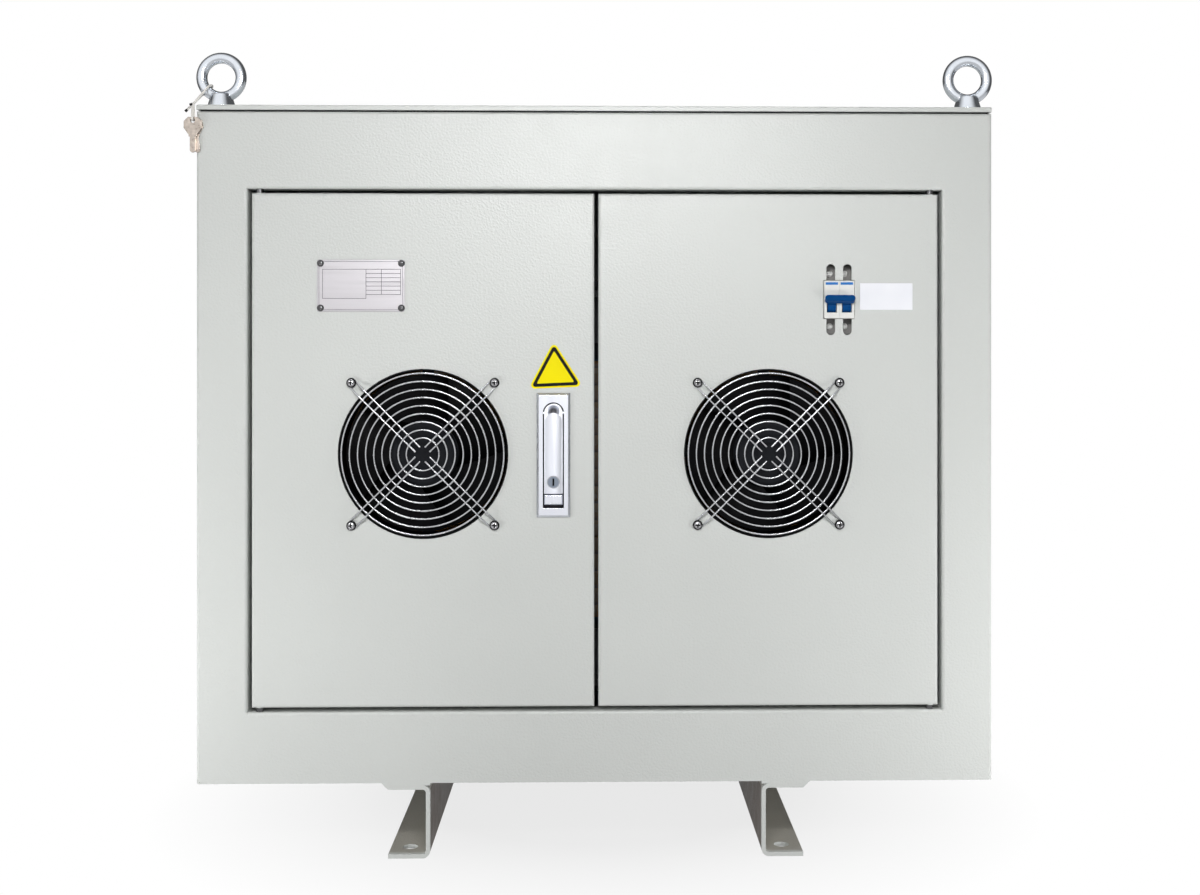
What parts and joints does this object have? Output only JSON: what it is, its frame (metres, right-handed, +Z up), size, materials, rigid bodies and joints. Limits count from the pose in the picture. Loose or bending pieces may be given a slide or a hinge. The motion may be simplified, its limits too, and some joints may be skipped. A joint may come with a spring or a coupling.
{
  "type": "power_transformer",
  "caption": "Dry-type power transformer in a grey steel cabinet with inset double doors, guarded fans, a swing-handle lock, a breaker and lifting eyes",
  "frame": {"origin": "On the floor, in the middle of the four anchor holes in the feet.", "axes": "X to the right seen from the doors, Y from the doors to the back, Z up."},
  "size_m": [0.972, 0.613, 0.964],
  "materials": {
    "grey_paint": "fine textured powder coat",
    "bright_zinc": "bright plated",
    "zinc_plate": "zinc plated",
    "black_rubber": "matt",
    "core_steel": "laminated, varnished",
    "coil_varnish": "amber varnish over tape",
    "block_resin": "cast resin",
    "frame_steel": "primer grey",
    "key_nickel": "nickel plated",
    "fan_black": "satin black",
    "rotor_black": "satin black",
    "lock_chrome": "satin chrome",
    "breaker_white": "moulded",
    "toggle_blue": "moulded",
    "loop_cover": "pale plastic over wire"
  },
  "bodies": {
    "cabinet": {"left_foot": "grey_paint", "right_foot": "grey_paint", "foot_strips": "grey_paint", "floor_plate": "grey_paint", "left_wall": "grey_paint", "right_wall": "grey_paint", "back_wall": "grey_paint", "left_stile": "grey_paint", "right_stile": "grey_paint", "top_rail": "grey_paint", "bottom_rail": "grey_paint", "cover_seal": "black_rubber", "top_cover": "grey_paint", "eyebolt_front_left": "bright_zinc", "eyebolt_front_right": "bright_zinc", "eyebolt_rear_left": "bright_zinc", "eyebolt_rear_right": "bright_zinc", "left_hinge_pins": "zinc_plate", "right_hinge_pins": "zinc_plate", "core": "core_steel", "left_coil": "coil_varnish", "middle_coil": "coil_varnish", "right_coil": "coil_varnish", "coil_blocks": "block_resin", "upper_clamps": "frame_steel", "lower_clamps": "frame_steel", "core_bearers": "frame_steel", "key_loop": "loop_cover", "keys": "key_nickel"},
    "left_door": {"left_door_panel": "grey_paint", "left_fan_housing": "fan_black", "left_fan_guard": "zinc_plate", "lock_dish": "lock_chrome", "lock_cam": "zinc_plate"},
    "left_rotor": {"left_fan_rotor": "rotor_black"},
    "handle": {"lock_handle": "lock_chrome", "key_barrel": "zinc_plate"},
    "button": {"lock_button": "lock_chrome"},
    "right_door": {"right_door_panel": "grey_paint", "right_fan_housing": "fan_black", "right_fan_guard": "zinc_plate", "breaker_body": "breaker_white", "breaker_bracket": "zinc_plate"},
    "right_rotor": {"right_fan_rotor": "rotor_black"},
    "toggle": {"breaker_toggle": "toggle_blue"}
  },
  "joints": [
    {"name": "left_door_hinge", "type": "hinge", "parent": "cabinet", "child": "left_door", "pos_m": [-0.401, -0.294, 0.4865], "axis": [0, 0, -1], "range_deg": [0, 110]},
    {"name": "right_door_hinge", "type": "hinge", "parent": "cabinet", "child": "right_door", "pos_m": [0.401, -0.294, 0.4865], "axis": [0, 0, 1], "range_deg": [0, 110]},
    {"name": "left_fan_spin", "type": "hinge", "parent": "left_door", "child": "left_rotor", "pos_m": [-0.20625, -0.27, 0.482], "axis": [0, 1, 0], "continuous": true},
    {"name": "right_fan_spin", "type": "hinge", "parent": "right_door", "child": "right_rotor", "pos_m": [0.20625, -0.27, 0.482], "axis": [0, 1, 0], "continuous": true},
    {"name": "lock_handle_lift", "type": "hinge", "parent": "left_door", "child": "handle", "pos_m": [-0.051, -0.30025, 0.531], "axis": [-1, 0, 0], "range_deg": [0, 60]},
    {"name": "lock_button_press", "type": "slide", "parent": "left_door", "child": "button", "axis": [0, 1, 0], "range_m": [0, 0.003], "stiffness_N_per_m": 400},
    {"name": "breaker_toggle_throw", "type": "hinge", "parent": "right_door", "child": "toggle", "pos_m": [0.291, -0.295, 0.659], "axis": [1, 0, 0], "range_deg": [0, 60]}
  ]
}
